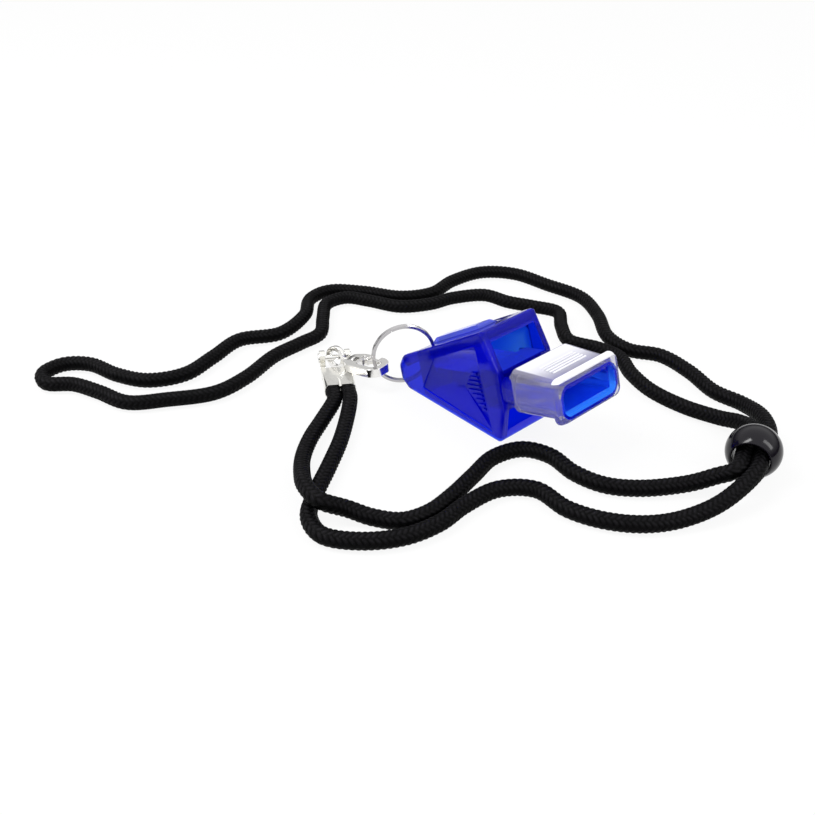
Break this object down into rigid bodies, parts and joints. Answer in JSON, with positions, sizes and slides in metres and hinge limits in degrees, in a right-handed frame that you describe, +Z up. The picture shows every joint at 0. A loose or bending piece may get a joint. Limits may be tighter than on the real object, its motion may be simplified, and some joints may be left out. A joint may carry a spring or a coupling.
{
  "type": "sports whistle on lanyard",
  "caption": "Wedge-shaped pealess sports whistle with a soft mouth grip, on a split ring, snap clasp and braided neck lanyard with a sliding bead.",
  "frame": {"origin": "middle of the whistle's bottom face, which rests on the table", "axes": "+X forward, towards the mouth end; +Y to the whistle's left; +Z up"},
  "size_m": [0.175, 0.165, 0.0298],
  "materials": {
    "body_plastic": "polished translucent blue",
    "grip_rubber": "clear soft elastomer",
    "ring_steel": "bright steel wire",
    "clasp_nickel": "bright nickel plate",
    "cord_braid": "braided black polyester",
    "bead_plastic": "gloss black"
  },
  "bodies": {
    "whistle": {"whistle_core": "body_plastic", "cover_left": "body_plastic", "cover_right": "body_plastic", "mouth_grip": "grip_rubber"},
    "ring": {"split_ring": "ring_steel"},
    "clasp": {"clasp_body": "clasp_nickel", "lever_pin": "ring_steel", "lever_spring": "ring_steel"},
    "lever": {"clasp_lever": "clasp_nickel"},
    "swivel": {"swivel_eye": "clasp_nickel"},
    "lanyard": {"crimp": "clasp_nickel", "crimp_pin": "clasp_nickel", "strand_a": "cord_braid", "strand_b": "cord_braid", "neck_loop": "cord_braid"},
    "bead": {"slide_bead": "bead_plastic"}
  },
  "joints": [
    {"name": "ring_swing", "type": "hinge", "parent": "whistle", "child": "ring", "pos_m": [-0.021, 0, 0.00784], "axis": [0, 1, 0], "range_deg": [-4, 8]},
    {"name": "clasp_on_ring", "type": "hinge", "parent": "ring", "child": "clasp", "pos_m": [-0.0224, -0.0096, 0.00983], "axis": [0.8659, -0.4999, 0.0175], "range_deg": [-8, 8]},
    {"name": "lever_press", "type": "hinge", "parent": "clasp", "child": "lever", "pos_m": [-0.03237, -0.01638, 0.00555], "axis": [-0.1545, -0.0245, 0.9877], "range_deg": [-16, 0], "stiffness_Nm_per_rad": 0.002},
    {"name": "clasp_swivel", "type": "hinge", "parent": "clasp", "child": "swivel", "pos_m": [-0.04205, -0.02, 0.00395], "axis": [0.9755, 0.1545, 0.1564], "range_deg": [0, 30]},
    {"name": "eye_hinge", "type": "hinge", "parent": "swivel", "child": "lanyard", "pos_m": [-0.04205, -0.02, 0.00395], "axis": [0.5446, 0.8387, 0], "range_deg": [0, 20]},
    {"name": "bead_slide", "type": "slide", "parent": "lanyard", "child": "bead", "axis": [-0.342, 0.9397, 0], "range_m": [-0.003, 0.004]}
  ]
}
